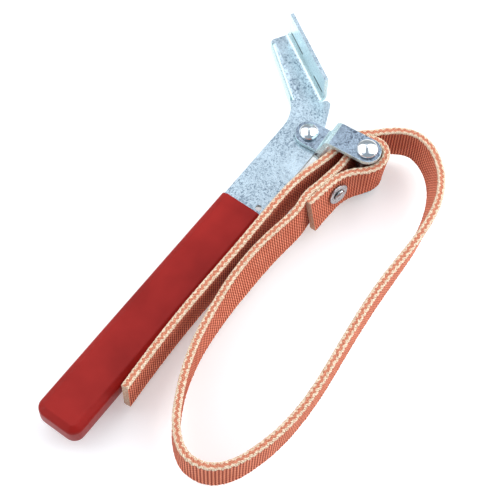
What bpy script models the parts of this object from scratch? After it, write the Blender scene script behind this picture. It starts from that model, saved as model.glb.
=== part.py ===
"""Oil filter strap wrench: a pressed steel handle with an angled heel, a red sleeve grip, a riveted link of
two joggled plates, and a webbing strap that is riveted round the link's anchor pin, runs out in a loop and
comes back between the plates as a free tail.

Dimensions are in millimetres and are measured from the pivot pin's axis, at the middle of the handle's
sheet: x runs along the handle towards the head, y to its left and z up. MM turns them into metres.
"""

import math

import bmesh
import bpy
import numpy as np
from mathutils import Matrix, Vector

MM = 0.001
GAP = 0.3
RUNNING_GAP = 0.15

# Where the pivot stands in the object's own frame, whose origin is the centre of the base of its box.
PIVOT_X = 67.2
PIVOT_Y = 16.6
PIVOT_Z = 15.6

# Handle blank, pressed from one sheet.
SHEET = 1.8
HANDLE_LEFT = 12.4
HANDLE_RIGHT = -7.6
HANDLE_END = -172.0
CHANNEL_START = -49.5
CHANNEL_BOTTOM = -7.0
CHANNEL_RADIUS = 2.1
ELBOW_RADIUS = 20.0
NECK_RADIUS = 14.0
NECK_CORNER = (21.2, 2.2)
NECK_BEND_X = -1.5
TOOLING_HOLE = (-44.6, -4.3)
TOOLING_HOLE_RADIUS = 1.5

# Heel leg: the flange stands on the line from HEEL_FOOT at HEEL_ANGLE, and takes the filter on its outer face.
HEEL_FOOT = (21.7, 5.2)
HEEL_ANGLE = 58.5
HEEL_LENGTH = 40.7
HEEL_TOP = 16.2
FLANGE_RADIUS = 3.1
LEG_WIDTH_FOOT = 16.3
LEG_WIDTH_TIP = 11.9
LEG_CORNER = 2.2
LIP_RADIUS = 1.7
LIP_BOTTOM = -4.9
LIP_START = 5.0
LIP_END = 38.4
SLIT_WIDTH = 0.6
SLIT_HEIGHT = 5.2
SLITS = ((1.4, 11.4), (24.6, 38.0))

# Grip sleeve.
GRIP_MOUTH = -47.3
GRIP_END = -177.3
GRIP_BOTTOM = -9.8
GRIP_WALL = 0.9
GRIP_ROUNDING = 3.6

# Link plates, pins and spacer.
ANCHOR = (2.4, -29.5)
LINK_SHEET = 2.0
LINK_HALF_WIDTH = 6.4
LINK_STEP = 10.5
JOGGLE_START = 9.0
JOGGLE_END = 12.2
JOGGLE_RADIUS = 2.5
PIN_RADIUS = 3.0
PIVOT_HEAD_RADIUS = 4.5
ANCHOR_HEAD_RADIUS = 4.9
HEAD_HEIGHT = 2.8
FORMED_HEAD_HEIGHT = 1.6
SPACER_WALL = 0.9

# Webbing strap, standing on edge.
STRAP_WIDTH = 20.0
STRAP_THICKNESS = 3.0
STRAP_STEP = 2.5
STRAP_RIVET_X = -16.6
STRAP_RIVET_Z = 1.0
WASHER_RADIUS = 5.2
WASHER_THICKNESS = 0.8
WASHER_GAP = 0.8
STRAP_RIVET_RADIUS = 1.6
STRAP_RIVET_HEAD = 3.0
STRAP_RIVET_HEAD_HEIGHT = 1.4
STRAP_RIVET_BORE = 1.9

# The strap's upper edge, point by point from its lapped end to its tail. The third number is how far its
# lower edge stands to the right of the upper one, for someone walking along the strap.
EYE_ROUTE = (
    (-33.5, -22.9, 4.2),
    (-30.3, -23.2, 4.0),
    (-23.0, -24.3, 3.0),
    (-17.0, -25.3, 2.3),
    (-13.4, -26.5, 1.7),
    (-8.2, -29.8, 0.5),
    (-3.4, -34.6, -1.1),
    (3.6, -37.3, -1.6),
    (9.3, -35.7, -2.2),
    (12.0, -31.2, -1.6),
    (11.0, -26.5, -0.5),
    (6.5, -23.4, 0.0),
    (0.5, -22.7, 0.0),
    (-6.0, -23.2, -0.8),
    (-17.0, -21.9, -2.3),
    (-23.0, -21.0, -2.5),
    (-30.3, -19.9, -2.4),
    (-38.5, -20.8, -2.1),
)
LOOP_ROUTE = (
    (-38.5, -20.8, -2.1),
    (-47.4, -20.0, -2.5),
    (-63.0, -18.0, -3.5),
    (-75.0, -17.7, -3.7),
    (-86.0, -18.5, -2.9),
    (-99.4, -20.6, -1.4),
    (-112.0, -23.1, -0.3),
    (-123.4, -26.5, 0.5),
    (-133.0, -30.4, 1.0),
    (-142.0, -35.0, 1.0),
    (-149.2, -39.6, 0.7),
    (-154.6, -44.8, 0.3),
    (-157.6, -50.0, 0.0),
    (-158.3, -55.0, -0.3),
    (-157.2, -60.0, -0.3),
    (-154.2, -64.6, -0.4),
    (-148.6, -69.0, -0.6),
    (-140.5, -72.4, -0.8),
    (-131.0, -75.0, -1.0),
    (-120.5, -76.5, -1.2),
    (-109.5, -76.8, -1.2),
    (-99.0, -76.1, -0.9),
    (-79.0, -73.8, -0.7),
    (-63.5, -72.1, -0.7),
    (-46.0, -71.0, -1.0),
    (-29.4, -71.1, -1.9),
    (-15.5, -71.0, -2.8),
    (-6.0, -70.0, -3.3),
    (4.0, -67.5, -3.5),
    (13.0, -62.8, -2.9),
    (20.3, -55.8, -1.9),
    (24.8, -47.0, -0.8),
    (25.0, -40.3, 0.5),
    (22.3, -34.2, 0.9),
    (18.2, -29.3, 0.9),
    (14.2, -25.3, 0.4),
)
TAIL_ROUTE = (
    (14.2, -25.3, 0.4),
    (9.6, -20.5, 0.1),
    (3.0, -18.0, 0.0),
    (-5.5, -16.6, 0.0),
    (-16.0, -14.3, 0.0),
    (-28.0, -11.9, 0.0),
    (-42.0, -11.2, 0.0),
    (-68.0, -11.4, 0.0),
    (-96.0, -11.2, 0.0),
    (-124.0, -11.8, 0.0),
    (-150.0, -13.5, 0.0),
)
RUNNING_LENGTH = 58.0

COLOURS = {
    "zinc_plate": ((0.62, 0.68, 0.73), 0.32, 1.0),
    "grip_pvc": ((0.42, 0.03, 0.03), 0.35, 0.0),
    "webbing": ((0.76, 0.28, 0.17), 0.85, 0.0),
    "rivet_steel": ((0.78, 0.80, 0.82), 0.18, 1.0),
}


def clear_scene():
    for obj in list(bpy.data.objects):
        bpy.data.objects.remove(obj, do_unlink=True)


def new_collection(name):
    collection = bpy.data.collections.new(name)
    bpy.context.scene.collection.children.link(collection)
    return collection


def new_material(name):
    colour, roughness, metallic = COLOURS[name]
    material = bpy.data.materials.new(name)
    material.use_nodes = True
    shader = material.node_tree.nodes["Principled BSDF"]
    shader.inputs["Base Color"].default_value = (*colour, 1.0)
    shader.inputs["Roughness"].default_value = roughness
    shader.inputs["Metallic"].default_value = metallic
    return material


def new_empty(name, position, parent=None):
    """An empty on a joint's axis. Its position is in millimetres from the pivot, or for the root in its frame."""
    empty = bpy.data.objects.new(name, None)
    PARTS.objects.link(empty)
    empty.location = Vector(position) * MM
    if parent:
        empty.parent = parent
    return empty


def new_object(name, bm, collection=None):
    """Closes a bmesh, drawn in millimetres, into an object in metres."""
    bmesh.ops.scale(bm, vec=(MM, MM, MM), verts=bm.verts)
    bmesh.ops.recalc_face_normals(bm, faces=bm.faces)
    mesh = bpy.data.meshes.new(name)
    bm.to_mesh(mesh)
    bm.free()
    obj = bpy.data.objects.new(name, mesh)
    (collection or PARTS).objects.link(obj)
    return obj


def finish_piece(obj, body, material, smooth_angle=35.0):
    """Puts a piece drawn from the pivot under its body's empty, with its material and smooth shading."""
    obj.parent = body
    if body == ANCHOR_AXIS:
        obj.location = Vector((-ANCHOR[0], -ANCHOR[1], 0.0)) * MM
    obj.data.materials.append(MATERIALS[material])
    obj.data.shade_smooth()
    obj.data.set_sharp_from_angle(angle=math.radians(smooth_angle))


def add_solidify(obj, thickness):
    solid = obj.modifiers.new("sheet", "SOLIDIFY")
    solid.thickness = thickness * MM
    solid.offset = 0.0
    solid.use_even_offset = True


def add_cut(obj, cutter):
    cut = obj.modifiers.new("cut_" + cutter.name, "BOOLEAN")
    cut.operation = "DIFFERENCE"
    cut.solver = "EXACT"
    cut.object = cutter
    cutter.parent = obj.parent
    cutter.location = obj.location
    cutter.hide_render = True
    cutter.display_type = "WIRE"


def fillet(points, radii, steps=6):
    """A polyline with its corners turned to arcs. The end points of an open line have radius 0."""
    count = len(points)
    smooth = []
    for i, radius in enumerate(radii):
        here = Vector(points[i])
        if radius == 0.0:
            smooth.append(here)
            continue
        back = (Vector(points[i - 1]) - here).normalized()
        ahead = (Vector(points[(i + 1) % count]) - here).normalized()
        half = back.angle(ahead) / 2
        start = here + back * (radius / math.tan(half))
        end = here + ahead * (radius / math.tan(half))
        centre = here + (back + ahead).normalized() * (radius / math.sin(half))
        for k in range(steps + 1):
            chord = start.lerp(end, k / steps) - centre
            smooth.append(centre + chord.normalized() * radius)
    return smooth


def heel_point(along, left):
    """A point of the leg from its distance along the flange and to the left of the flange's outer face."""
    angle = math.radians(HEEL_ANGLE)
    direction = Vector((math.cos(angle), math.sin(angle)))
    leftward = Vector((-direction.y, direction.x))
    return Vector(HEEL_FOOT) + direction * along + leftward * left


def leg_edge(along):
    """The leg's left outline, which closes in towards the tip."""
    share = along / HEEL_LENGTH
    return LEG_WIDTH_FOOT + (LEG_WIDTH_TIP - LEG_WIDTH_FOOT) * share


def add_fold(bm, ends, outward, up, radius, height, steps=5):
    """Turns the sheet through 90 degrees along a straight edge, then runs it on as a flat wall."""
    edge = edge_between(bm, *ends)
    outward = Vector((*outward, 0.0)).normalized()
    rise = Vector((0.0, 0.0, up))
    centre = edge.verts[0].co + rise * radius
    turn = Matrix.Rotation(math.radians(90.0 / steps), 3, outward.cross(rise))
    for _ in range(steps):
        edge = extrude_edge(bm, edge)
        bmesh.ops.rotate(bm, cent=centre, matrix=turn, verts=edge.verts)
    edge = extrude_edge(bm, edge)
    bmesh.ops.translate(bm, vec=rise * (height - radius), verts=edge.verts)


def edge_between(bm, first, second):
    """The outline edge whose ends lie at these two plan points."""
    wanted = [Vector((*first, 0.0)), Vector((*second, 0.0))]
    return min(
        bm.edges,
        key=lambda e: min(
            (e.verts[0].co - wanted[0]).length + (e.verts[1].co - wanted[1]).length,
            (e.verts[0].co - wanted[1]).length + (e.verts[1].co - wanted[0]).length,
        ),
    )


def extrude_edge(bm, edge):
    made = bmesh.ops.extrude_edge_only(bm, edges=[edge])["geom"]
    new_verts = {item for item in made if isinstance(item, bmesh.types.BMVert)}
    return next(e for e in made if isinstance(e, bmesh.types.BMEdge) and set(e.verts) == new_verts)


def handle_outline():
    """The blank's flat web from above, counter-clockwise, with the fold lines as straight edges."""
    channel_inset = SHEET / 2 + CHANNEL_RADIUS
    fold_inset = SHEET / 2 + FLANGE_RADIUS
    lip_inset = SHEET / 2 + LIP_RADIUS
    leg_angle = math.atan2(*(heel_point(HEEL_LENGTH, leg_edge(HEEL_LENGTH)) - heel_point(0, leg_edge(0))).yx)
    elbow_base = heel_point(LIP_START, leg_edge(LIP_START))
    elbow_x = elbow_base.x - (elbow_base.y - HANDLE_LEFT) / math.tan(leg_angle)
    corners = (
        ((CHANNEL_START, HANDLE_RIGHT), 0.0),
        ((NECK_BEND_X, HANDLE_RIGHT), NECK_RADIUS),
        (NECK_CORNER, 2.0),
        (heel_point(-0.9, 0.6), 0.0),
        (heel_point(-0.9, fold_inset), 0.0),
        (heel_point(0.0, fold_inset), 0.0),
        (heel_point(HEEL_LENGTH, fold_inset), 0.0),
        (heel_point(HEEL_LENGTH, leg_edge(HEEL_LENGTH) - 0.4), LEG_CORNER),
        (heel_point(LIP_END, leg_edge(LIP_END) - 0.4), 0.0),
        (heel_point(LIP_END, leg_edge(LIP_END) - lip_inset), 0.0),
        (heel_point(LIP_START, leg_edge(LIP_START) - lip_inset), 0.0),
        (elbow_base, 0.0),
        ((elbow_x, HANDLE_LEFT), ELBOW_RADIUS),
        ((CHANNEL_START, HANDLE_LEFT), 0.0),
        ((CHANNEL_START, HANDLE_LEFT - channel_inset), 0.0),
        ((HANDLE_END, HANDLE_LEFT - channel_inset), 0.0),
        ((HANDLE_END, HANDLE_RIGHT + channel_inset), 0.0),
        ((CHANNEL_START, HANDLE_RIGHT + channel_inset), 0.0),
    )
    return [point for point, _ in corners], [radius for _, radius in corners]


def make_handle_blank():
    """Web, channel sides, stiffening lip and heel flange as one folded surface, thickened to the sheet."""
    points, radii = handle_outline()
    bm = bmesh.new()
    verts = [bm.verts.new((p.x, p.y, 0.0)) for p in fillet(points, radii)]
    bm.faces.new(verts)
    bm.edges.ensure_lookup_table()
    angle = math.radians(HEEL_ANGLE)
    rightward = (math.sin(angle), -math.cos(angle))
    add_fold(bm, points[5:7], rightward, 1.0, FLANGE_RADIUS, HEEL_TOP)
    edge_run = points[9] - points[10]
    add_fold(bm, points[9:11], (-edge_run.y, edge_run.x), -1.0, LIP_RADIUS, -LIP_BOTTOM, steps=4)
    add_fold(bm, points[14:16], (0.0, 1.0), -1.0, CHANNEL_RADIUS, -CHANNEL_BOTTOM)
    add_fold(bm, points[16:18], (0.0, -1.0), -1.0, CHANNEL_RADIUS, -CHANNEL_BOTTOM)
    obj = new_object("handle_blank", bm)
    finish_piece(obj, HANDLE_FRAME, "zinc_plate")
    add_solidify(obj, SHEET)
    add_cut(obj, make_hole_cutter("pivot_hole", (0.0, 0.0), PIN_RADIUS + RUNNING_GAP))
    add_cut(obj, make_hole_cutter("tooling_hole", TOOLING_HOLE, TOOLING_HOLE_RADIUS))
    for index, (start, end) in enumerate(SLITS):
        add_cut(obj, make_slit_cutter(f"heel_slit_{index + 1}", start, end))


def make_hole_cutter(name, place, radius):
    bm = bmesh.new()
    bmesh.ops.create_cone(bm, cap_ends=True, segments=48, radius1=radius, radius2=radius, depth=60.0)
    bmesh.ops.translate(bm, vec=(*place, 0.0), verts=bm.verts)
    return new_object(name, bm, CUTTERS)


def make_slit_cutter(name, start, end):
    """A thin slot through the flange, at the top of its bend."""
    bm = bmesh.new()
    bmesh.ops.create_cube(bm, size=1.0)
    bmesh.ops.scale(bm, vec=(end - start, 3 * SHEET, SLIT_WIDTH), verts=bm.verts)
    turn = Matrix.Rotation(math.radians(HEEL_ANGLE), 3, "Z")
    bmesh.ops.rotate(bm, cent=(0.0, 0.0, 0.0), matrix=turn, verts=bm.verts)
    middle = heel_point((start + end) / 2, SHEET / 2)
    bmesh.ops.translate(bm, vec=(middle.x, middle.y, SLIT_HEIGHT), verts=bm.verts)
    return new_object(name, bm, CUTTERS)


def rounded_bar(low, high, rounding, name, collection=None):
    """A bar whose edges are round all over, except at its mouth, the end with the higher x."""
    bm = bmesh.new()
    bmesh.ops.create_cube(bm, size=1.0)
    size = Vector(high) - Vector(low)
    bmesh.ops.scale(bm, vec=size, verts=bm.verts)
    bmesh.ops.translate(bm, vec=Vector(low) + size / 2, verts=bm.verts)
    mouth = high[0] - 1e-4
    edges = [e for e in bm.edges if min(v.co.x for v in e.verts) < mouth]
    bmesh.ops.bevel(bm, geom=edges, offset=rounding, segments=5, profile=0.5, affect="EDGES")
    return new_object(name, bm, collection)


def make_grip_sleeve():
    """A closed-ended sleeve, with a wall all round the channel part of the handle."""
    reach = GRIP_WALL + GAP
    low = (GRIP_END, HANDLE_RIGHT - reach, GRIP_BOTTOM)
    high = (GRIP_MOUTH, HANDLE_LEFT + reach, SHEET / 2 + reach)
    sleeve = rounded_bar(low, high, GRIP_ROUNDING, "grip_sleeve")
    finish_piece(sleeve, HANDLE_FRAME, "grip_pvc")
    inner_low = (HANDLE_END - GRIP_ROUNDING + GRIP_WALL, HANDLE_RIGHT - GAP, GRIP_BOTTOM + GRIP_WALL)
    inner_high = (GRIP_MOUTH + 10.0, HANDLE_LEFT + GAP, SHEET / 2 + GAP)
    cavity = rounded_bar(inner_low, inner_high, GRIP_ROUNDING - GRIP_WALL, "grip_cavity", CUTTERS)
    add_cut(sleeve, cavity)
    add_cut(sleeve, make_mouth_step())


def make_mouth_step():
    """Squares the cavity at the mouth, where the handle's flat web is still its full width."""
    bm = bmesh.new()
    bmesh.ops.create_cube(bm, size=1.0)
    length = GRIP_MOUTH + 1.0 - (CHANNEL_START - SHEET)
    width = HANDLE_LEFT - HANDLE_RIGHT + 2 * GAP
    bmesh.ops.scale(bm, vec=(length, width, SHEET + 2 * GAP), verts=bm.verts)
    middle_y = (HANDLE_LEFT + HANDLE_RIGHT) / 2
    bmesh.ops.translate(bm, vec=(GRIP_MOUTH + 1.0 - length / 2, middle_y, 0.0), verts=bm.verts)
    return new_object("grip_mouth_step", bm, CUTTERS)


def turned(name, profile, body, material, steps=40):
    """A piece turned about its body's axis. Its profile runs from the top down its outer side."""
    bm = bmesh.new()
    verts = [bm.verts.new((radius, 0.0, height)) for radius, height in profile]
    for first, second in zip(verts, verts[1:]):
        bm.edges.new((first, second))
    if profile[0][0] > 0.0:
        bm.edges.new((verts[-1], verts[0]))
    obj = new_object(name, bm)
    finish_piece(obj, body, material)
    obj.location = (0.0, 0.0, 0.0)
    screw = obj.modifiers.new("turn", "SCREW")
    screw.steps = steps
    screw.render_steps = steps
    screw.use_merge_vertices = True
    screw.merge_threshold = 0.00001
    screw.use_smooth_shade = True
    return obj


def dome(head_radius, base, height, points=6):
    """A rivet head's profile from its crown to its rim, above base."""
    rim = 0.25 * height
    crown = height - rim
    angles = [math.pi / 2 * k / points for k in range(points + 1)]
    return [(head_radius * math.sin(a), base + rim + crown * math.cos(a)) for a in angles] + [(head_radius, base)]


def rivet_profile(head_radius, shank_radius, top, bottom, head_height, formed_height):
    """Head, shank and formed tail of a rivet, from the crown down."""
    upper = dome(head_radius, top, head_height)
    lower = [(radius, 2 * bottom - height) for radius, height in reversed(dome(head_radius, bottom, formed_height))]
    return upper + [(shank_radius, top), (shank_radius, bottom)] + lower


def link_top(step):
    """Height of the outer face of the upper link plate: on the handle with step 0, raised with LINK_STEP."""
    return SHEET / 2 + GAP + LINK_SHEET + step


def make_pins():
    seat = link_top(0.0) + GAP
    profile = rivet_profile(PIVOT_HEAD_RADIUS, PIN_RADIUS, seat, -seat, HEAD_HEIGHT, HEAD_HEIGHT)
    turned("pivot_rivet", profile, HANDLE_FRAME, "rivet_steel")
    seat = link_top(LINK_STEP) + GAP
    profile = rivet_profile(ANCHOR_HEAD_RADIUS, PIN_RADIUS, seat, -seat, HEAD_HEIGHT, FORMED_HEAD_HEIGHT)
    turned("anchor_rivet", profile, ANCHOR_SEAT, "rivet_steel")
    inner = PIN_RADIUS + GAP
    outer = inner + SPACER_WALL
    half = link_top(LINK_STEP) - LINK_SHEET - GAP
    profile = [(inner, half), (outer, half), (outer, -half), (inner, -half)]
    turned("anchor_spacer", profile, ANCHOR_SEAT, "rivet_steel")


def joggle_line():
    """The link plate's mid-line from the side: distance from the pivot, and height."""
    low = link_top(0.0) - LINK_SHEET / 2
    reach = math.dist(ANCHOR, (0.0, 0.0)) + 2 * LINK_HALF_WIDTH
    points = [(-reach, low), (JOGGLE_START, low), (JOGGLE_END, low + LINK_STEP), (reach, low + LINK_STEP)]
    return fillet(points, [0.0, JOGGLE_RADIUS, JOGGLE_RADIUS, 0.0], steps=5)


def link_outline(ends=14):
    """The plate's outline in plan: straight sides between two round ends."""
    spacing = math.dist(ANCHOR, (0.0, 0.0))
    outline = []
    for centre, start in ((spacing, -90.0), (0.0, 90.0)):
        for k in range(ends + 1):
            angle = math.radians(start + 180.0 * k / ends)
            outline.append((centre + LINK_HALF_WIDTH * math.cos(angle), LINK_HALF_WIDTH * math.sin(angle)))
    return outline


def make_link_plate(name, side):
    """One joggled plate of the link. side is 1 for the upper plate and -1 for the lower."""
    line = joggle_line()
    bm = bmesh.new()
    bm.faces.new([bm.verts.new((x, y, 0.0)) for x, y in link_outline()])
    for station in line[1:-1]:
        geometry = bm.verts[:] + bm.edges[:] + bm.faces[:]
        bmesh.ops.bisect_plane(bm, geom=geometry, plane_co=(station.x, 0.0, 0.0), plane_no=(1.0, 0.0, 0.0), dist=1e-5)
    for vert in bm.verts:
        vert.co.z = side * float(np.interp(vert.co.x, [p.x for p in line], [p.y for p in line]))
    heading = math.atan2(ANCHOR[1], ANCHOR[0])
    bmesh.ops.rotate(bm, cent=(0.0, 0.0, 0.0), matrix=Matrix.Rotation(heading, 3, "Z"), verts=bm.verts)
    obj = new_object(name, bm)
    finish_piece(obj, LINK_AXIS, "zinc_plate")
    add_solidify(obj, LINK_SHEET)
    add_cut(obj, make_hole_cutter(name + "_pivot_hole", (0.0, 0.0), PIN_RADIUS + RUNNING_GAP))
    add_cut(obj, make_hole_cutter(name + "_anchor_hole", ANCHOR, PIN_RADIUS + RUNNING_GAP))


def spline(stations, values, at):
    """A natural cubic spline through values, whose rows are points, read at the given stations."""
    stations = np.asarray(stations, float)
    values = np.asarray(values, float)
    count = len(stations)
    width = np.diff(stations)
    matrix = np.eye(count)
    right = np.zeros_like(values)
    for i in range(1, count - 1):
        matrix[i, i - 1 : i + 2] = width[i - 1], 2 * (width[i - 1] + width[i]), width[i]
        rises = np.diff(values[i - 1 : i + 2], axis=0) / width[i - 1 : i + 1, None]
        right[i] = 6 * (rises[1] - rises[0])
    bend = np.linalg.solve(matrix, right)
    span = np.clip(np.searchsorted(stations, at) - 1, 0, count - 2)
    step = width[span][:, None]
    left = (stations[span + 1] - at)[:, None] / step
    ahead = 1.0 - left
    line = left * values[span] + ahead * values[span + 1]
    curve = (left**3 - left) * bend[span] + (ahead**3 - ahead) * bend[span + 1]
    return line + curve * step**2 / 6


def strap_line():
    """The whole strap sampled evenly: distance along it, plan point, and lean of the lower edge."""
    route = np.array(EYE_ROUTE + LOOP_ROUTE[1:] + TAIL_ROUTE[1:])
    chord = np.concatenate([[0.0], np.cumsum(np.hypot(*np.diff(route[:, :2], axis=0).T))])
    fine = np.linspace(0.0, chord[-1], 6000)
    path = spline(chord, route, fine)
    length = np.concatenate([[0.0], np.cumsum(np.hypot(*np.diff(path[:, :2], axis=0).T))])
    ends = [length[np.argmin(abs(fine - chord[len(part) - 1]))] for part in (EYE_ROUTE, EYE_ROUTE + LOOP_ROUTE[1:])]
    return length, path, ends


def strap_points(start, end):
    """Plan point, rightward direction and lean at even steps of the strap between two distances."""
    length, path, _ = strap_line()
    at = np.linspace(start, end, max(2, round((end - start) / STRAP_STEP)) + 1)
    place = np.column_stack([np.interp(at, length, path[:, k]) for k in range(3)])
    ahead = np.column_stack([np.interp(at + 0.2, length, path[:, k]) for k in range(2)])
    behind = np.column_stack([np.interp(at - 0.2, length, path[:, k]) for k in range(2)])
    run = ahead - behind
    run /= np.hypot(*run.T)[:, None]
    return place[:, :2], np.column_stack([run[:, 1], -run[:, 0]]), place[:, 2]


def make_strap_piece(name, start, end, body):
    """A stretch of webbing: a surface from its upper edge to its lower one, thickened."""
    place, right, lean = strap_points(start, end)
    half = np.sqrt((STRAP_WIDTH / 2) ** 2 - (lean / 2) ** 2)
    bm = bmesh.new()
    upper = [bm.verts.new((x, y, h)) for (x, y), h in zip(place, half)]
    low = place + right * lean[:, None]
    lower = [bm.verts.new((x, y, -h)) for (x, y), h in zip(low, half)]
    for i in range(len(upper) - 1):
        bm.faces.new((upper[i], lower[i], lower[i + 1], upper[i + 1]))
    obj = new_object(name, bm)
    finish_piece(obj, body, "webbing")
    add_solidify(obj, STRAP_THICKNESS)
    return obj


def lap_strand(start, end):
    """Where a strand of the lap passes the strap rivet: upper edge, direction of travel, and lean."""
    length, path, _ = strap_line()
    along = np.flatnonzero((length >= start) & (length <= end))
    here = along[np.argmin(abs(path[along, 0] - STRAP_RIVET_X))]
    run = Vector(path[here + 5, :2] - path[here - 5, :2]).normalized()
    return Vector(path[here, :2]), run, path[here, 2]


def lap_frame():
    """Middle of the lap at the strap rivet, the way out of it from the handle, and its strands' spacing."""
    eye_end = strap_line()[2][0]
    outer, outer_run, outer_lean = lap_strand(0.0, eye_end / 2)
    inner, inner_run, inner_lean = lap_strand(eye_end / 2, eye_end)
    run = (outer_run - inner_run).normalized()
    outward = Vector((run.y, -run.x))
    lean = (outer_lean - inner_lean) / 2
    middle = (outer + inner) / 2 + outward * lean * (0.5 - STRAP_RIVET_Z / STRAP_WIDTH)
    tilt = math.asin(lean / STRAP_WIDTH)
    axis = Vector((*(outward * math.cos(tilt)), math.sin(tilt)))
    return Vector((*middle, STRAP_RIVET_Z)), axis, (outer - inner).dot(outward)


def aim(obj, middle, axis):
    """Turns a piece drawn about z so that z lies along axis, with its centre at middle."""
    obj.rotation_mode = "QUATERNION"
    obj.rotation_quaternion = Vector((0.0, 0.0, 1.0)).rotation_difference(axis)
    obj.location = (middle - Vector((*ANCHOR, 0.0))) * MM


def make_strap_rivet(eye):
    """The small rivet through the lap, with a washer on either face."""
    middle, axis, spacing = lap_frame()
    face = spacing / 2 + STRAP_THICKNESS / 2 + WASHER_GAP
    washer_out = face + WASHER_THICKNESS
    seat = washer_out + GAP
    heads = (STRAP_RIVET_HEAD, STRAP_RIVET_RADIUS, seat, -seat, STRAP_RIVET_HEAD_HEIGHT, STRAP_RIVET_HEAD_HEIGHT)
    rivet = turned("strap_rivet", rivet_profile(*heads), ANCHOR_AXIS, "rivet_steel", steps=24)
    aim(rivet, middle, axis)
    bore = STRAP_RIVET_RADIUS + GAP
    for name, low in (("strap_washer_outer", face), ("strap_washer_inner", -washer_out)):
        high = low + WASHER_THICKNESS
        profile = [(bore, high), (WASHER_RADIUS, high), (WASHER_RADIUS, low), (bore, low)]
        aim(turned(name, profile, ANCHOR_AXIS, "rivet_steel", steps=32), middle, axis)
    bm = bmesh.new()
    bmesh.ops.create_cone(bm, cap_ends=True, segments=24, radius1=STRAP_RIVET_BORE, radius2=STRAP_RIVET_BORE, depth=18.0)
    turn = Vector((0.0, 0.0, 1.0)).rotation_difference(axis).to_matrix()
    bmesh.ops.rotate(bm, cent=(0.0, 0.0, 0.0), matrix=turn, verts=bm.verts)
    bmesh.ops.translate(bm, vec=middle, verts=bm.verts)
    add_cut(eye, new_object("strap_rivet_hole", bm, CUTTERS))


def make_strap():
    """One strap as four solids: the riveted eye, the loop, the stretch through the link, and the tail."""
    length, _, (eye_end, loop_end) = strap_line()
    running_end = loop_end + RUNNING_LENGTH
    half = GAP / 2
    eye = make_strap_piece("strap_eye", 0.0, eye_end - half, ANCHOR_AXIS)
    make_strap_piece("strap_loop", eye_end + half, loop_end - half, ANCHOR_AXIS)
    make_strap_piece("strap_running", loop_end + half, running_end - half, ANCHOR_AXIS)
    make_strap_piece("strap_tail", running_end + half, length[-1], ANCHOR_AXIS)
    make_strap_rivet(eye)


clear_scene()
PARTS = new_collection("oil_filter_strap_wrench")
CUTTERS = new_collection("cutters")
MATERIALS = {name: new_material(name) for name in COLOURS}
HANDLE_FRAME = new_empty("handle_frame", (PIVOT_X, PIVOT_Y, PIVOT_Z))
LINK_AXIS = new_empty("link_axis", (0.0, 0.0, 0.0), HANDLE_FRAME)
ANCHOR_SEAT = new_empty("anchor_seat", (*ANCHOR, 0.0), LINK_AXIS)
ANCHOR_AXIS = new_empty("anchor_axis", (*ANCHOR, 0.0), LINK_AXIS)
make_handle_blank()
make_grip_sleeve()
make_pins()
make_link_plate("link_plate_top", 1.0)
make_link_plate("link_plate_bottom", -1.0)
make_strap()
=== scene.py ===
"""Looks of an oil filter strap wrench: zinc-plated pressed handle, red sleeve grip, riveted link plates and
a woven salmon strap with cream edge cords. Lengths are in millimetres, and places are measured from the
pivot pin's axis at the middle of the handle's sheet, with x along the handle to its head. `place` turns a
place into the row frame. Lengths of the lights, the floor, the camera's clip and the bumps are in metres.
"""
import math

import bmesh
import bpy
import numpy as np
from mathutils import Matrix, Vector


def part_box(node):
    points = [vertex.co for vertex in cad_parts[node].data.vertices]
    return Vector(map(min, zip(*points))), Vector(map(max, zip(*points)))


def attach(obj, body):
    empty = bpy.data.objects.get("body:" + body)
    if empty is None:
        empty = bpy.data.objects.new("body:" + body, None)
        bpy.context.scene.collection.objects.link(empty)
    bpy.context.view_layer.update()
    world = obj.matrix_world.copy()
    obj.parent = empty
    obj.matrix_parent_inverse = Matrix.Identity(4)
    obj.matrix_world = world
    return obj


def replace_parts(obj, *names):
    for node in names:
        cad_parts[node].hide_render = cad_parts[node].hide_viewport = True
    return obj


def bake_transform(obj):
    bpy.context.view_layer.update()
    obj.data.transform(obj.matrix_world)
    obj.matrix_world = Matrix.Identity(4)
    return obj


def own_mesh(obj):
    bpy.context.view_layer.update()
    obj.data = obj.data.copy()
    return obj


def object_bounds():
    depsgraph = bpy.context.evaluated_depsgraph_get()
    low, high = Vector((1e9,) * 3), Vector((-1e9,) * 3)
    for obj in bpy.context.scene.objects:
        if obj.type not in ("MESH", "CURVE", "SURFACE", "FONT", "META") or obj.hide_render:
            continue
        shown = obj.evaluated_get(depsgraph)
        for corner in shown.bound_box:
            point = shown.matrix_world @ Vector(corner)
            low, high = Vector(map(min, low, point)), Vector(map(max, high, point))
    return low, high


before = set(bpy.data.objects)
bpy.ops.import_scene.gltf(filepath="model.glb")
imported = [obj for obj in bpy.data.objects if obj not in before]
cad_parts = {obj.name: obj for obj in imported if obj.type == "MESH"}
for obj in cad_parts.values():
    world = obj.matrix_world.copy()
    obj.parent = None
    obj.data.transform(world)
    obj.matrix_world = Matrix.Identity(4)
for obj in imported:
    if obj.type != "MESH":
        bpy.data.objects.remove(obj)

CAD_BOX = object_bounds()
MM = 0.001

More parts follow.
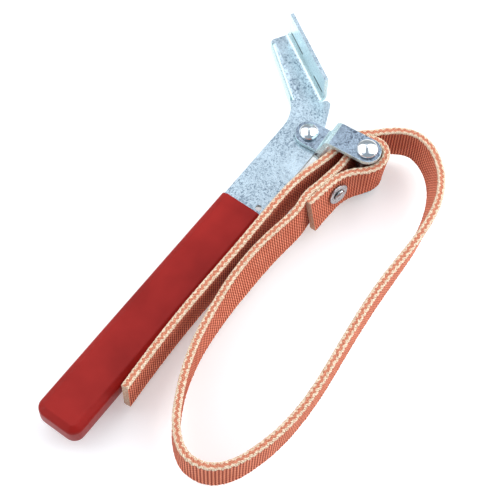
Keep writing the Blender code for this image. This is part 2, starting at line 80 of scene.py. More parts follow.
# The strap's upper edge: x, y, and how far the lower edge stands to the right of it along the strap.
EYE_ROUTE = (
    (-33.5, -22.9, 4.2), (-30.3, -23.2, 4.0), (-23.0, -24.3, 3.0), (-17.0, -25.3, 2.3), (-13.4, -26.5, 1.7),
    (-8.2, -29.8, 0.5), (-3.4, -34.6, -1.1), (3.6, -37.3, -1.6), (9.3, -35.7, -2.2), (12.0, -31.2, -1.6),
    (11.0, -26.5, -0.5), (6.5, -23.4, 0.0), (0.5, -22.7, 0.0), (-6.0, -23.2, -0.8), (-17.0, -21.9, -2.3),
    (-23.0, -21.0, -2.5), (-30.3, -19.9, -2.4), (-38.5, -20.8, -2.1),
)
LOOP_ROUTE = (
    (-38.5, -20.8, -2.1), (-47.4, -20.0, -2.5), (-63.0, -18.0, -3.5), (-75.0, -17.7, -3.7),
    (-86.0, -18.5, -2.9), (-99.4, -20.6, -1.4), (-112.0, -23.1, -0.3), (-123.4, -26.5, 0.5),
    (-133.0, -30.4, 1.0), (-142.0, -35.0, 1.0), (-149.2, -39.6, 0.7), (-154.6, -44.8, 0.3),
    (-157.6, -50.0, 0.0), (-158.3, -55.0, -0.3), (-157.2, -60.0, -0.3), (-154.2, -64.6, -0.4),
    (-148.6, -69.0, -0.6), (-140.5, -72.4, -0.8), (-131.0, -75.0, -1.0), (-120.5, -76.5, -1.2),
    (-109.5, -76.8, -1.2), (-99.0, -76.1, -0.9), (-79.0, -73.8, -0.7), (-63.5, -72.1, -0.7),
    (-46.0, -71.0, -1.0), (-29.4, -71.1, -1.9), (-15.5, -71.0, -2.8), (-6.0, -70.0, -3.3),
    (4.0, -67.5, -3.5), (13.0, -62.8, -2.9), (20.3, -55.8, -1.9), (24.8, -47.0, -0.8), (25.0, -40.3, 0.5),
    (22.3, -34.2, 0.9), (18.2, -29.3, 0.9), (14.2, -25.3, 0.4),
)
TAIL_ROUTE = (
    (14.2, -25.3, 0.4), (9.6, -20.5, 0.1), (3.0, -18.0, 0.0), (-5.5, -16.6, 0.0), (-16.0, -14.3, 0.0),
    (-28.0, -11.9, 0.0), (-42.0, -11.2, 0.0), (-68.0, -11.4, 0.0), (-96.0, -11.2, 0.0), (-124.0, -11.8, 0.0),
    (-150.0, -13.5, 0.0),
)
STRAP_WIDTH = 20.0
STRAP_STEP = 0.35
# Half the strap's thickness on its faces and at its edge cords, which start this far from its middle line.
FACE_HALF = 1.5
EDGE_HALF = 1.8
EDGE_START = 9.05
# Along the strap, a rib's pitch and a wave of the edge cords. Across it, a row of stitches.
RIB_PITCH = 1.4
WAVE_PITCH = 2.8
ROW_PITCH = 1.15

# The heel flange: its outer face's line in plan, by foot and angle, and its slits' level and spans along it.
HEEL_FOOT = (21.7, 5.2)
HEEL_ANGLE = 58.5
SHEET = 1.8
SLIT_HEIGHT = 5.2
SLITS = ((1.4, 11.4), (24.6, 38.0))
SLIT_SHADOW_HEIGHT = 0.95
SLIT_SHADOW_PROUD = 0.02

# The grip's end corners in plan, the chamfer round its top, the rounding below each, and its open mouth.
GRIP_CORNER = 5.0
CHAMFER_INSET = 3.0
SHOULDER_START = 29
SHOULDER_RADIUS = 2.0
SHOULDER_DEPTH = 2.84
UNDERSIDE_RADIUS = 3.0
MOUTH_WALL = 0.9
MOUTH_DEPTH = 3.0

# Rivets: the shank's radius, and the heights of the domed head and of the formed head below.
PIN_SHANK = 3.0
PIN_HEADS = (2.8, 1.6)
LAP_SHANK = 1.6
LAP_HEADS = (1.4, 1.4)
WASHER_THICKNESS = 0.8

BLANK_ROUNDING = 0.28
PLATE_ROUNDING = 0.32
GRIP_ROUNDING = 0.35
CREASE = math.radians(35)
GRIP_CREASE = math.radians(25)
LATHE_CREASE = math.radians(40)
LATHE_STEPS = 96

PIVOT_LOW, PIVOT_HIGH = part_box("pivot_rivet")
PIVOT = (PIVOT_LOW + PIVOT_HIGH) / 2


def place(x, y, z):
    """A point given in millimetres from the pivot, in the row frame."""
    return PIVOT + Vector((x, y, z)) * MM


# ---------------------------------------------------------------- materials

# Red of the stitches' tops, lightened into a painted highlight.
STITCH_HIGHLIGHT_RED = (0.96, 0.345, 0.21)
# Red of the grooves between stitches, darkened into painted shade.
GROOVE_SHADE_RED = (0.21, 0.028, 0.014)
PATCH_RED = (0.42, 0.065, 0.028)
# The edge cords' cream and the core's red, each with a darker colour that paints the shade between their
# threads.
CREAM = (0.92, 0.80, 0.62)
CREAM_SHADE = (0.50, 0.25, 0.13)
CORE_RED = (0.78, 0.32, 0.20)
CORE_SHADE = (0.40, 0.10, 0.05)


class Graph:
    """Builds one material's node tree."""

    def __init__(self, name, colour, roughness, metallic):
        self.material = bpy.data.materials.new(name)
        self.material.use_nodes = True
        self.tree = self.material.node_tree
        self.shader = self.tree.nodes["Principled BSDF"]
        self.shader.inputs["Base Color"].default_value = (*colour, 1.0)
        self.shader.inputs["Roughness"].default_value = roughness
        self.shader.inputs["Metallic"].default_value = metallic

    def put(self, socket, value):
        """Link a node's output into a socket, or give the socket a plain value."""
        if isinstance(value, bpy.types.NodeSocket):
            self.tree.links.new(value, socket)
        elif isinstance(value, tuple) and len(value) == 3 and socket.type == "RGBA":
            socket.default_value = (*value, 1.0)
        else:
            socket.default_value = value

    def set(self, name, value):
        self.put(self.shader.inputs[name], value)

    def math(self, operation, first, second=0.0, third=0.0):
        node = self.tree.nodes.new("ShaderNodeMath")
        node.operation = operation
        for socket, value in zip(node.inputs, (first, second, third)):
            self.put(socket, value)
        return node.outputs[0]

    def wave(self, along, pitch):
        """A sine of the given pitch, from -1 to 1."""
        return self.math("SINE", self.math("MULTIPLY", along, 2 * math.pi / pitch))

    def step(self, value, low, high):
        """0 below low, 1 above high, and smooth between."""
        node = self.tree.nodes.new("ShaderNodeMapRange")
        node.interpolation_type = "SMOOTHSTEP"
        self.put(node.inputs["Value"], value)
        node.inputs["From Min"].default_value = low
        node.inputs["From Max"].default_value = high
        return node.outputs["Result"]

    def range(self, value, low, high, to_low, to_high):
        """Maps low to to_low and high to to_high, and holds those ends outside."""
        node = self.tree.nodes.new("ShaderNodeMapRange")
        self.put(node.inputs["Value"], value)
        for name, number in (("From Min", low), ("From Max", high), ("To Min", to_low), ("To Max", to_high)):
            node.inputs[name].default_value = number
        return node.outputs["Result"]

    def mix(self, share, first, second):
        node = self.tree.nodes.new("ShaderNodeMix")
        node.data_type = "RGBA"
        self.put(node.inputs[0], share)
        self.put(node.inputs[6], first)
        self.put(node.inputs[7], second)
        return node.outputs[2]

    def place(self):
        """The object's own coordinates, in metres."""
        return self.tree.nodes.new("ShaderNodeTexCoord").outputs["Object"]

    def weave(self):
        """The strap's own coordinates: millimetres along, across and through it."""
        node = self.tree.nodes.new("ShaderNodeAttribute")
        node.attribute_name = "weave"
        return node.outputs["Vector"]

    def noise(self, where, scale, detail=2.0, roughness=0.5):
        node = self.tree.nodes.new("ShaderNodeTexNoise")
        self.put(node.inputs["Vector"], where)
        node.inputs["Scale"].default_value = scale
        node.inputs["Detail"].default_value = detail
        node.inputs["Roughness"].default_value = roughness
        return node.outputs["Fac"]

    def bump(self, height, distance, strength=1.0):
        node = self.tree.nodes.new("ShaderNodeBump")
        node.inputs["Strength"].default_value = strength
        node.inputs["Distance"].default_value = distance
        self.put(node.inputs["Height"], height)
        self.set("Normal", node.outputs["Normal"])


def zinc_material(name, dark, light, roughness, metal=0.7):
    """Zinc plating: fine grain, patches and soft clouds between a dark and a light colour."""
    g = Graph(name, light, roughness, metal)
    where = g.place()
    cloud = g.noise(where, 70.0, 3.0, 0.55)
    grain = g.noise(where, 1250.0, 4.0, 0.85)
    patch = g.noise(where, 600.0, 3.0, 0.70)
    broad = g.math("MULTIPLY_ADD", patch, 0.16, g.math("MULTIPLY", cloud, 0.14))
    mottle = g.math("MULTIPLY_ADD", grain, 0.70, broad)
    glow = tuple(min(1.0, 1.15 * c) for c in light)
    colour = g.mix(g.range(mottle, 0.41, 0.535, 0.0, 1.0), dark, light)
    colour = g.mix(g.range(cloud, 0.52, 0.70, 0.0, 0.5), colour, glow)
    g.set("Base Color", colour)
    g.set("Roughness", g.range(grain, 0.35, 0.65, roughness + 0.10, roughness - 0.06))
    g.bump(g.math("MULTIPLY_ADD", grain, 0.7, g.math("MULTIPLY", patch, 0.6)), 0.00006, 0.5)
    return g.material


def chrome_material(name):
    """Bright plating with faint smears."""
    g = Graph(name, (0.82, 0.86, 0.88), 0.13, 1.0)
    where = g.place()
    smear = g.noise(where, 420.0, 3.0, 0.6)
    g.set("Base Color", g.mix(g.range(smear, 0.35, 0.7, 0.0, 1.0), (0.72, 0.77, 0.80), (0.90, 0.93, 0.94)))
    g.set("Roughness", g.range(smear, 0.3, 0.7, 0.09, 0.20))
    g.bump(g.noise(where, 1500.0, 2.0), 0.00001, 0.3)
    return g.material


def shadow_material(name):
    """The unlit inside of a slit."""
    g = Graph(name, (0.004, 0.004, 0.005), 0.95, 0.0)
    g.set("Base Color", g.mix(g.noise(g.place(), 900.0), (0.002, 0.002, 0.003), (0.007, 0.007, 0.008)))
    g.set("Specular IOR Level", 0.0)
    return g.material


def grip_material(name):
    """Red dipped vinyl with soft clouds and a very fine grain."""
    g = Graph(name, (0.40, 0.012, 0.012), 0.34, 0.0)
    where = g.place()
    cloud = g.noise(where, 45.0, 3.0, 0.55)
    grain = g.noise(where, 1400.0, 2.0, 0.5)
    colour = g.mix(g.range(cloud, 0.35, 0.65, 0.0, 1.0), (0.24, 0.009, 0.007), (0.31, 0.014, 0.011))
    g.set("Base Color", colour)
    g.set("Specular IOR Level", 0.13)
    g.set("Roughness", g.range(grain, 0.3, 0.7, 0.33, 0.39))
    g.bump(grain, 0.00003, 0.12)
    return g.material


def webbing_face(g, spot, along, across, fuzz):
    """Colour and height of the strap's faces: ribs of stitches in rows, offset from row to row. The colour
    follows the height, with painted shade in the grooves and a painted highlight on the stitches' tops.
    """
    row = g.math("FLOOR", g.math("DIVIDE", across, ROW_PITCH))
    parity = g.math("MULTIPLY", g.math("MODULO", g.math("ADD", row, 100.0), 2.0), math.pi)
    turn = g.math("MULTIPLY", along, 2 * math.pi / RIB_PITCH)
    turn = g.math("ADD", turn, g.math("MULTIPLY", parity, 0.36))
    stitch = g.math("MULTIPLY_ADD", g.math("SINE", turn), 0.5, 0.5)
    stitch = g.math("MULTIPLY_ADD", stitch, 0.90, 0.10)
    seam = g.math("ABSOLUTE", g.wave(across, 2 * ROW_PITCH))
    pile = g.math("MULTIPLY", g.math("MULTIPLY_ADD", seam, 0.50, 0.50), stitch)
    lit = g.math("ADD", pile, g.math("MULTIPLY_ADD", fuzz, 0.5, -0.25))
    # Painted shade in the grooves and a painted highlight on the stitches, both taken from their height.
    colour = g.mix(g.range(lit, 0.10, 0.80, 0.0, 1.0), GROOVE_SHADE_RED, STITCH_HIGHLIGHT_RED)
    worn = g.range(g.noise(spot, 0.16, 2.0, 0.5), 0.35, 0.65, 0.0, 0.22)
    return g.mix(worn, colour, PATCH_RED), g.math("MULTIPLY_ADD", fuzz, 0.5, pile)


def webbing_material(name):
    """Red stitches on the faces, with wavy cream cords and a red core along the strap's edges."""
    g = Graph(name, (0.62, 0.19, 0.11), 0.85, 0.0)
    spot = g.weave()
    parts = g.tree.nodes.new("ShaderNodeSeparateXYZ")
    g.put(parts.inputs[0], spot)
    along, across, through = parts.outputs
    fuzz = g.noise(spot, 1.9, 3.0, 0.6)
    face, face_height = webbing_face(g, spot, along, across, fuzz)
    drift = g.noise(spot, 0.35, 1.0, 0.5)
    sway = g.wave(g.math("MULTIPLY_ADD", drift, 3.0, along), WAVE_PITCH)
    far = g.math("ABSOLUTE", across)
    rim = g.math("ADD", far, g.math("MULTIPLY", sway, 0.26))
    rim = g.math("ADD", rim, g.math("MULTIPLY_ADD", fuzz, 0.9, -0.45))
    edge = g.step(rim, 9.20, 9.40)
    lane = g.math("ABSOLUTE", g.math("MULTIPLY_ADD", sway, 0.30, through))
    lane = g.math("ADD", lane, g.math("MULTIPLY_ADD", fuzz, 0.8, -0.4))
    core = g.math("SUBTRACT", 1.0, g.step(lane, 0.62, 0.80))
    core = g.math("MULTIPLY", core, g.step(far, 9.4, 9.6))
    twist = g.wave(g.math("ADD", along, g.math("MULTIPLY", through, 0.8)), WAVE_PITCH / 3)
    strand = g.math("ADD", fuzz, g.math("MULTIPLY", twist, 0.09))
    # Cords and core are mottled along their threads and darkened towards painted shade between them.
    cream = g.mix(g.range(strand, 0.32, 0.62, 0.0, 1.0), CREAM_SHADE, CREAM)
    middle = g.mix(g.range(strand, 0.32, 0.66, 0.0, 1.0), CORE_SHADE, CORE_RED)
    g.set("Base Color", g.mix(core, g.mix(edge, face, cream), middle))
    g.set("Specular IOR Level", 0.12)
    height = g.tree.nodes.new("ShaderNodeMix")
    g.put(height.inputs[0], edge)
    g.put(height.inputs[2], face_height)
    g.put(height.inputs[3], g.math("MULTIPLY_ADD", twist, 0.25, g.math("MULTIPLY", fuzz, 0.8)))
    g.bump(height.outputs[0], 0.00035, 0.8)
    return g.material


def cut_end_material(name):
    """The strap's cut ends: cream fibres with pale red plies."""
    g = Graph(name, (0.62, 0.42, 0.28), 0.9, 0.0)
    spot = g.weave()
    fibre = g.noise(spot, 2.6, 3.0, 0.65)
    ply = g.noise(spot, 0.9, 2.0, 0.5)
    colour = g.mix(g.range(fibre, 0.35, 0.65, 0.0, 1.0), (0.30, 0.16, 0.09), (0.88, 0.74, 0.56))
    colour = g.mix(g.range(ply, 0.4, 0.65, 0.0, 0.6), colour, (0.55, 0.20, 0.12))
    g.set("Base Color", colour)
    g.bump(fibre, 0.0004, 0.9)
    return g.material


def floor_material(name):
    """Near-white floor, slightly self-lit so that shadows on it stay faint."""
    g = Graph(name, (0.93, 0.93, 0.93), 0.9, 0.0)
    g.set("Specular IOR Level", 0.0)
    grain = g.noise(g.place(), 60.0, 2.0)
    g.set("Base Color", g.mix(grain, (0.80, 0.80, 0.80), (0.82, 0.82, 0.82)))
    g.set("Emission Color", (1.0, 1.0, 1.0))
    g.set("Emission Strength", 0.32)
    return g.material


# ---------------------------------------------------------------- strap


def spline(stations, values, at):
    """A natural cubic spline through values, whose rows are points, read at the given stations."""
    stations = np.asarray(stations, float)
    values = np.asarray(values, float)
    count = len(stations)
    width = np.diff(stations)
    matrix = np.eye(count)
    rhs = np.zeros_like(values)
    for i in range(1, count - 1):
        matrix[i, i - 1] = width[i - 1]
        matrix[i, i] = 2 * (width[i - 1] + width[i])
        matrix[i, i + 1] = width[i]
        rhs[i] = 6 * ((values[i + 1] - values[i]) / width[i] - (values[i] - values[i - 1]) / width[i - 1])
    bend = np.linalg.solve(matrix, rhs)
    span = np.clip(np.searchsorted(stations, at, side="right") - 1, 0, count - 2)
    step = width[span][:, None]
    left = (stations[span + 1] - at)[:, None] / step
    ahead = 1.0 - left
    line = left * values[span] + ahead * values[span + 1]
    curve = (left**3 - left) * bend[span] + (ahead**3 - ahead) * bend[span + 1]
    return line + curve * step**2 / 6


ROUTE = np.array(EYE_ROUTE + LOOP_ROUTE[1:] + TAIL_ROUTE[1:])
CHORD = np.concatenate([[0.0], np.cumsum(np.hypot(*np.diff(ROUTE[:, :2], axis=0).T))])
FINE = np.linspace(0.0, CHORD[-1], 9000)
PATH = spline(CHORD, ROUTE, FINE)
LENGTH = np.concatenate([[0.0], np.cumsum(np.hypot(*np.diff(PATH[:, :2], axis=0).T))])
EYE_END = LENGTH[np.argmin(abs(FINE - CHORD[len(EYE_ROUTE) - 1]))]
LOOP_END = LENGTH[np.argmin(abs(FINE - CHORD[len(EYE_ROUTE) + len(LOOP_ROUTE) - 2]))]


def strap_section():
    """Points once round the strap: across its width, through its thickness, and whether on a face."""
    edge_turns = np.linspace(0.0, math.pi, 15)
    flats = np.linspace(EDGE_START, -EDGE_START, 29)[1:-1]
    points = []
    for side in (1.0, -1.0):
        for turn in edge_turns:
            out = EDGE_START + (STRAP_WIDTH / 2 - EDGE_START) * math.sin(turn) ** 0.7
            points.append((side * out, -side * EDGE_HALF * math.cos(turn), 0.0))
        for flat in flats:
            swell = math.exp(-(EDGE_START - abs(flat)) / 0.45)
            points.append((side * flat, side * (FACE_HALF + (EDGE_HALF - FACE_HALF) * swell), 1.0))
    return np.array(points)


def strap_frame(at):
    """Middle of the strap at these distances along it, with its downward and face directions there."""
    spot = np.column_stack([np.interp(at, LENGTH, PATH[:, k]) for k in range(3)])
    ahead = np.column_stack([np.interp(at + 0.25, LENGTH, PATH[:, k]) for k in range(2)])
    behind = np.column_stack([np.interp(at - 0.25, LENGTH, PATH[:, k]) for k in range(2)])
    run = ahead - behind
    run /= np.hypot(*run.T)[:, None]
    right = np.column_stack([run[:, 1], -run[:, 0]])
    lean = spot[:, 2]
    down = np.column_stack([right * (lean / STRAP_WIDTH)[:, None], -np.sqrt(1 - (lean / STRAP_WIDTH) ** 2)])
    face = np.cross(np.column_stack([run, np.zeros(len(run))]), down)
    middle = np.column_stack([spot[:, :2] + right * lean[:, None] / 2, np.zeros(len(spot))])
    return middle, down, face


def strap_surface(at, across, through, on_face):
    """The strap's points once its ribs, its edge cords' waves and its loose fibres are raised on it."""
    middle, down, face = strap_frame(at)
    rib = 0.5 + 0.5 * np.sin(2 * np.pi * at / RIB_PITCH)[:, None]
    sway = np.sin(2 * np.pi * at / WAVE_PITCH)[:, None]
    lane = np.abs(through + 0.46 * sway)
    cord = np.exp(-(((lane - 1.15) / 0.5) ** 2)) * (np.abs(across) > EDGE_START)
    rng = np.random.default_rng(7)
    fuzz = rng.normal(0.0, 1.0, across.shape)
    fuzz = (fuzz + np.roll(fuzz, 1, 1) + np.roll(fuzz, -1, 1) + np.roll(fuzz, 2, 1)) / 2
    loose = 0.06 * (1 - on_face) * fuzz
    raised = np.sign(through) * on_face * (0.12 * rib - 0.04) + 0.05 * (1 - on_face) * sway
    widened = np.sign(across) * (0.26 * cord - 0.16 * (1 - on_face))
    shown_through = (through + raised + loose)[:, :, None]
    shown_across = (across + widened + loose)[:, :, None]
    return middle[:, None, :] - down[:, None, :] * shown_across + face[:, None, :] * shown_through


def make_strap(name, start, end, materials):
    """A stretch of webbing from one distance to another, with ribbed faces and corded edges."""
    section = strap_section()
    at = np.linspace(start, end, max(3, round((end - start) / STRAP_STEP)) + 1)
    rows, count = len(at), len(section)
    across = np.broadcast_to(section[:, 0], (rows, count))
    through = np.broadcast_to(section[:, 1], (rows, count))
    shape = strap_surface(at, across, through, section[:, 2])
    verts = (shape.reshape(-1, 3) * MM + np.array(PIVOT)).tolist()
    faces = []
    for i in range(rows - 1):
        for j in range(count):
            k = (j + 1) % count
            faces.append((i * count + j, i * count + k, (i + 1) * count + k, (i + 1) * count + j))
    faces.append(tuple(range(count - 1, -1, -1)))
    faces.append(tuple((rows - 1) * count + j for j in range(count)))
    mesh = bpy.data.meshes.new(name)
    mesh.from_pydata(verts, [], faces)
    weave = mesh.attributes.new("weave", "FLOAT_VECTOR", "POINT")
    coords = np.stack([np.broadcast_to(at[:, None], across.shape), across, through], axis=2).reshape(-1)
    weave.data.foreach_set("vector", coords.astype(np.float32))
    for material in materials:
        mesh.materials.append(material)
    is_end = np.arange(len(faces)) >= len(faces) - 2
    mesh.polygons.foreach_set("material_index", is_end.astype(np.int32))
    mesh.polygons.foreach_set("use_smooth", ~is_end)
    bm = bmesh.new()
    bm.from_mesh(mesh)
    bmesh.ops.recalc_face_normals(bm, faces=bm.faces)
    bm.to_mesh(mesh)
    bm.free()
    obj = bpy.data.objects.new(name, mesh)
    bpy.context.scene.collection.objects.link(obj)
    return obj


# ---------------------------------------------------------------- metal and grip


def box_mm(node):
    """A CAD node's box, in millimetres from the pivot."""
    low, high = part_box(node)
    return (low - PIVOT) / MM, (high - PIVOT) / MM


def mesh_object(name, bm, materials):
    """Makes the finished bmesh a linked object with these materials."""
    mesh = bpy.data.meshes.new(name)
    bm.to_mesh(mesh)
    bm.free()
    for material in materials:
        mesh.materials.append(material)
    obj = bpy.data.objects.new(name, mesh)
    bpy.context.scene.collection.objects.link(obj)
    return obj


def round_off(obj, width, crease):
    """Shades an object smooth between creases and gives it a bevel, whose limit the caller sets."""
    bevel = obj.modifiers.new("round", "BEVEL")
    bevel.width = width * MM
    bevel.segments = 3
    bevel.harden_normals = True
    obj.data.shade_smooth()
    obj.data.set_sharp_from_angle(angle=crease)
    return bevel


def add_slit_shadow(bm, start, end):
    """Dark strip in the mouth of one of the flange's slits, which spans these distances along the heel."""
    angle = math.radians(HEEL_ANGLE)
    along = Vector((math.cos(angle), math.sin(angle)))
    inward = Vector((-along.y, along.x))
    middle = Vector(HEEL_FOOT) + along * (start + end) / 2 + inward * SHEET / 2
    made = bmesh.ops.create_cube(bm, size=MM)["verts"]
    depth = SHEET + 2 * SLIT_SHADOW_PROUD
    bmesh.ops.scale(bm, vec=(end - start, depth, SLIT_SHADOW_HEIGHT), verts=made)
    bmesh.ops.rotate(bm, cent=(0, 0, 0), matrix=Matrix.Rotation(angle, 3, "Z"), verts=made)
    bmesh.ops.translate(bm, vec=place(middle.x, middle.y, SLIT_HEIGHT), verts=made)
    for face in {face for vert in made for face in vert.link_faces}:
        face.material_index = 2


def refined(node, name, materials, width, slits=()):
    """A copy of a CAD node with rounded edges.

    Its walls and rounded edges take the second material, a paler zinc that paints a highlight on them, and a
    slit's inside the third.
    """
    bm = bmesh.new()
    bm.from_mesh(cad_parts[node].data)
    bmesh.ops.remove_doubles(bm, verts=bm.verts, dist=1e-6)
    bmesh.ops.dissolve_limit(bm, angle_limit=math.radians(1.0), verts=bm.verts, edges=bm.edges)
    bm.normal_update()

    def in_slit(piece):
        return bool(slits) and all(abs((v.co.z - PIVOT.z) / MM - SLIT_HEIGHT) < 0.35 for v in piece.verts)

    weight = bm.edges.layers.float.new("bevel_weight_edge")
    for edge in bm.edges:
        if edge.is_manifold and edge.calc_face_angle() > CREASE and not in_slit(edge):
            edge[weight] = 1.0
    for face in bm.faces:
        face.material_index = 2 if in_slit(face) else int(abs(face.normal.z) < 0.97)
    for start, end in slits:
        add_slit_shadow(bm, start, end)
    obj = mesh_object(name, bm, materials)
    bevel = round_off(obj, width, CREASE)
    bevel.limit_method = "WEIGHT"
    bevel.material = 1
    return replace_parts(obj, node)


def grip_outline(inset, low, high):
    """The grip's plan at one level: square at the mouth and rounded at its closed end."""
    reach = GRIP_CORNER - inset
    points = [(high.x, low.y + inset)]
    for side, first, last in ((low.y + GRIP_CORNER, -90, -180), (high.y - GRIP_CORNER, 180, 90)):
        for turn in np.radians(np.linspace(first, last, 10)):
            points.append((low.x + GRIP_CORNER + reach * math.cos(turn), side + reach * math.sin(turn)))
    points.append((high.x, high.y - inset))
    return points


def make_grip():
    """The dipped sleeve: a flat top inside a shallow chamfer, rounded sides, and a recess round the mouth."""
    low, high = box_mm("grip_sleeve")
    levels = [(CHAMFER_INSET, high.z)]
    for turn in np.radians(np.linspace(SHOULDER_START, 90, 8)):
        level = high.z - SHOULDER_DEPTH + SHOULDER_RADIUS * math.cos(turn)
        levels.append((SHOULDER_RADIUS * (1 - math.sin(turn)), level))
    for turn in np.radians(np.linspace(90, 0, 9)):
        level = low.z + UNDERSIDE_RADIUS * (1 - math.cos(turn))
        levels.append((UNDERSIDE_RADIUS * (1 - math.sin(turn)), level))
    bm = bmesh.new()
    rings = [[bm.verts.new(place(x, y, z)) for x, y in grip_outline(inset, low, high)] for inset, z in levels]
    for upper, lower in zip(rings, rings[1:]):
        for k in range(len(upper) - 1):
            bm.faces.new((upper[k], upper[k + 1], lower[k + 1], lower[k]))
    bm.faces.new(rings[0])
    bm.faces.new(rings[-1][::-1])
    mouth = bm.faces.new([ring[0] for ring in rings] + [ring[-1] for ring in rings[::-1]])
    bmesh.ops.recalc_face_normals(bm, faces=bm.faces)
    bmesh.ops.inset_region(bm, faces=[mouth], thickness=MOUTH_WALL * MM)
    bmesh.ops.translate(bm, vec=(-MOUTH_DEPTH * MM, 0.0, 0.0), verts=mouth.verts)
    obj = mesh_object("sleeve_grip", bm, [RED])
    bevel = round_off(obj, GRIP_ROUNDING, GRIP_CREASE)
    bevel.limit_method = "ANGLE"
    bevel.angle_limit = GRIP_CREASE
    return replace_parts(obj, "grip_sleeve")


def lathe(name, profile, material, node, matrix):
    """A piece turned about its own z axis from (radius, height) points in millimetres, then placed."""
    bm = bmesh.new()
    verts = [bm.verts.new((r * MM, 0.0, z * MM)) for r, z in profile]
    edges = [bm.edges.new(pair) for pair in zip(verts, verts[1:])]
    if profile[0][0] > 0.0:
        edges.append(bm.edges.new((verts[-1], verts[0])))
    bmesh.ops.spin(
        bm,
        geom=verts + edges,
        cent=(0, 0, 0),
        axis=(0, 0, 1),
        angle=2 * math.pi,
        steps=LATHE_STEPS,
        use_duplicate=False,
    )
    bmesh.ops.remove_doubles(bm, verts=bm.verts, dist=2e-6)
    bmesh.ops.recalc_face_normals(bm, faces=bm.faces)
    obj = mesh_object(name, bm, [material])
    obj.data.shade_smooth()
    obj.data.set_sharp_from_angle(angle=LATHE_CREASE)
    obj.matrix_world = matrix
    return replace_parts(obj, node)


def dome(radius, base, height):
    """Profile of a domed head with a small upright rim, from its crown down to its base."""
    rim = 0.22 * height
    turns = np.linspace(0, math.pi / 2, 14)[1:]
    sweep = [(radius * math.sin(t), base + rim + (height - rim) * math.cos(t)) for t in turns]
    return [(0.0, base + height)] + sweep + [(radius - 0.12, base)]


def rivet(name, node, seats, heights, radius, shank, material, matrix):
    """A rivet whose heads, of these heights, stand on an upper and a lower seat."""
    top, bottom = seats
    upper = dome(radius, top, heights[0])
    lower = [(r, -z) for r, z in reversed(dome(radius, -bottom, heights[1]))]
    profile = upper + [(shank, top), (shank, bottom)] + lower
    return lathe(name, profile, material, node, matrix)


def upright_through(low, high):
    """The upright axis through the middle of a box, at the pivot's level."""
    return Matrix.Translation(place((low.x + high.x) / 2, (low.y + high.y) / 2, 0.0))


# ---------------------------------------------------------------- build

ZINC = zinc_material("zinc_plate", (0.115, 0.165, 0.225), (0.52, 0.635, 0.71), 0.30)
LINK_ZINC = zinc_material("link_zinc", (0.028, 0.038, 0.07), (0.33, 0.41, 0.50), 0.27, 0.85)
# A paler, cyan-tinted zinc for walls, flange and bevelled edges: a painted highlight where they catch the
# light.
EDGE_HIGHLIGHT_ZINC = zinc_material("zinc_edge_painted_highlight", (0.52, 0.67, 0.70), (0.66, 0.85, 0.87), 0.28, 0.7)
SLIT_DARK = shadow_material("slit_shadow")
CHROME = chrome_material("rivet_chrome")
STEEL = zinc_material("lap_steel", (0.22, 0.22, 0.23), (0.55, 0.56, 0.57), 0.24, 0.95)
RED = grip_material("grip_pvc")
WEB = webbing_material("webbing")
CUT = cut_end_material("webbing_end")

blank = refined("handle_blank", "handle_plate", (ZINC, EDGE_HIGHLIGHT_ZINC, SLIT_DARK), BLANK_ROUNDING, SLITS)
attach(blank, "handle")
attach(make_grip(), "handle")
for side in ("top", "bottom"):
    plate = refined("link_plate_" + side, "link_cheek_" + side, (LINK_ZINC, EDGE_HIGHLIGHT_ZINC), PLATE_ROUNDING)
    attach(plate, "link")


def make_pin(node, name, radius, body):
    """One of the two upright rivets, as tall as its CAD node."""
    low, high = box_mm(node)
    seats = (high.z - PIN_HEADS[0], low.z + PIN_HEADS[1])
    pin = rivet(name, node, seats, PIN_HEADS, radius, PIN_SHANK, CHROME, upright_through(low, high))
    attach(pin, body)


make_pin("pivot_rivet", "pivot_pin", 4.5, "handle")
make_pin("anchor_rivet", "anchor_pin", 4.9, "link")

eye = make_strap("strap_eye_web", 0.0, EYE_END, (WEB, CUT))
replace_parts(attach(eye, "strap"), "strap_eye")
loop = make_strap("strap_loop_web", EYE_END, LOOP_END, (WEB, CUT))
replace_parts(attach(loop, "strap"), "strap_loop")
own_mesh(loop)
tail = make_strap("strap_tail_web", LOOP_END, LENGTH[-1], (WEB, CUT))
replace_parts(tail, "strap_running", "strap_tail")
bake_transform(tail)


def make_strap_fastener():
    """The lap's rivet and its two washers, turned about the line through both washers' middles."""
    outer = sum(box_mm("strap_washer_outer"), Vector()) / 2
    inner = sum(box_mm("strap_washer_inner"), Vector()) / 2
    axis = (outer - inner).normalized()
    turn = Vector((0.0, 0.0, 1.0)).rotation_difference(axis).to_matrix().to_4x4()
    matrix = Matrix.Translation(place(*((outer + inner) / 2))) @ turn
    half = (outer - inner).length / 2
    for side, centre in (("outer", half), ("inner", -half)):
        low, high = centre - WASHER_THICKNESS / 2, centre + WASHER_THICKNESS / 2
        profile = [(1.9, high), (4.85, high), (5.1, high - 0.1), (5.2, high - 0.3), (5.2, low), (1.9, low)]
        washer = lathe("lap_washer_" + side, profile, STEEL, "strap_washer_" + side, matrix)
        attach(washer, "strap")
    seats = (half + 0.7, -half - 0.7)
    pin = rivet("lap_rivet", "strap_rivet", seats, LAP_HEADS, 3.0, LAP_SHANK, STEEL, matrix)
    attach(pin, "strap")


def make_spacer():
    """The tube that keeps the link plates apart on the anchor rivet."""
    low, high = box_mm("anchor_spacer")
    outer = (high.x - low.x) / 2
    profile = [(outer - 0.9, high.z), (outer - 0.2, high.z), (outer, high.z - 0.2)]
    profile += [(outer, low.z + 0.2), (outer - 0.2, low.z), (outer - 0.9, low.z)]
    spacer = lathe("anchor_tube", profile, STEEL, "anchor_spacer", upright_through(low, high))
    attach(spacer, "link")


make_strap_fastener()
make_spacer()

# ---------------------------------------------------------------- studio


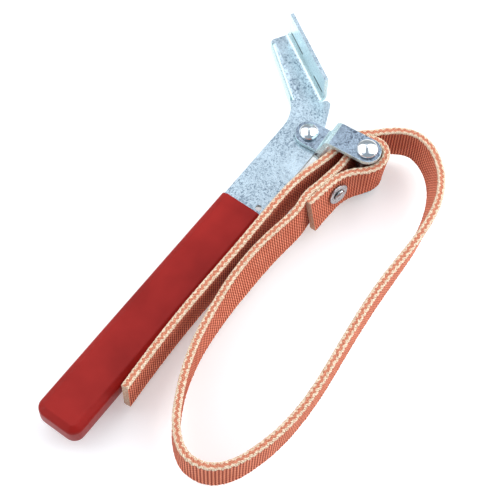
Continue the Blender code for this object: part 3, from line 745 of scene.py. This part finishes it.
def area_light(name, where, target, upright, size, power):
    """A softbox facing a target, whose height runs along the upright direction."""
    data = bpy.data.lights.new(name, "AREA")
    data.shape = "RECTANGLE"
    data.size, data.size_y = size
    data.energy = power
    back = (Vector(where) - Vector(target)).normalized()
    side = Vector(upright).cross(back).normalized()
    turn = Matrix((side, back.cross(side), back)).transposed().to_4x4()
    obj = bpy.data.objects.new(name, data)
    obj.matrix_world = Matrix.Translation(where) @ turn
    bpy.context.scene.collection.objects.link(obj)


def make_sky():
    """An even grey-blue surround, which the bright metal mirrors."""
    world = bpy.data.worlds.new("studio")
    bpy.context.scene.world = world
    world.use_nodes = True
    tree = world.node_tree
    where = tree.nodes.new("ShaderNodeTexCoord")
    parts = tree.nodes.new("ShaderNodeSeparateXYZ")
    ramp = tree.nodes.new("ShaderNodeValToRGB")
    tree.links.new(where.outputs["Generated"], parts.inputs[0])
    tree.links.new(parts.outputs["Z"], ramp.inputs[0])
    tree.links.new(ramp.outputs[0], tree.nodes["Background"].inputs[0])
    stops = ((0.30, (0.42, 0.44, 0.46, 1.0)), (0.75, (0.34, 0.40, 0.47, 1.0)))
    for stop, (position, colour) in zip(ramp.color_ramp.elements, stops):
        stop.position = position
        stop.color = colour
    tree.nodes["Background"].inputs[1].default_value = 1.0


def make_floor():
    """A floor a little below the tool's lowest point."""
    bm = bmesh.new()
    bmesh.ops.create_grid(bm, x_segments=2, y_segments=2, size=6.0)
    floor = mesh_object("floor", bm, [floor_material("floor")])
    floor.location = (0.0, 0.0, CAD_BOX[0][2] - 0.0002)


def make_lights():
    """Two softboxes, one each side of what the flat faces mirror, and a lower light from either side."""
    middle = place(-40.0, -25.0, 0.0)
    mirror = Vector((0.47, 0.28, 0.84))
    right = Vector((0.595, -0.804, 0.0))
    away = Vector((0.804, 0.595, 0.0))
    for name, share, power in (("softbox_right", 0.66, 11.0), ("softbox_left", -0.66, 10.0)):
        where = middle + (mirror + right * share - away * 0.22).normalized() * 1.2
        area_light(name, where, middle, away, (1.40, 1.40), power)
    area_light("side_right", middle + Vector((0.95, -1.05, 0.55)), middle, (0, 0, 1), (1.2, 0.7), 13.0)
    area_light("side_left", middle + Vector((-1.05, 0.65, 0.55)), middle, (0, 0, 1), (0.9, 0.6), 3.2)


def make_camera(where, degrees, lens):
    """The main camera, turned by these angles about x, y and z."""
    data = bpy.data.cameras.new("camera")
    data.lens = lens
    data.sensor_width = 36.0
    data.clip_start = 0.01
    obj = bpy.data.objects.new("camera", data)
    obj.location = where
    obj.rotation_euler = tuple(math.radians(a) for a in degrees)
    bpy.context.scene.collection.objects.link(obj)
    bpy.context.scene.camera = obj


make_sky()
make_floor()
make_lights()
make_camera(place(-309.54, -183.95, 550.9), (28.485, -0.954, -53.542), 102.96)
bpy.context.scene.view_settings.view_transform = "Standard"
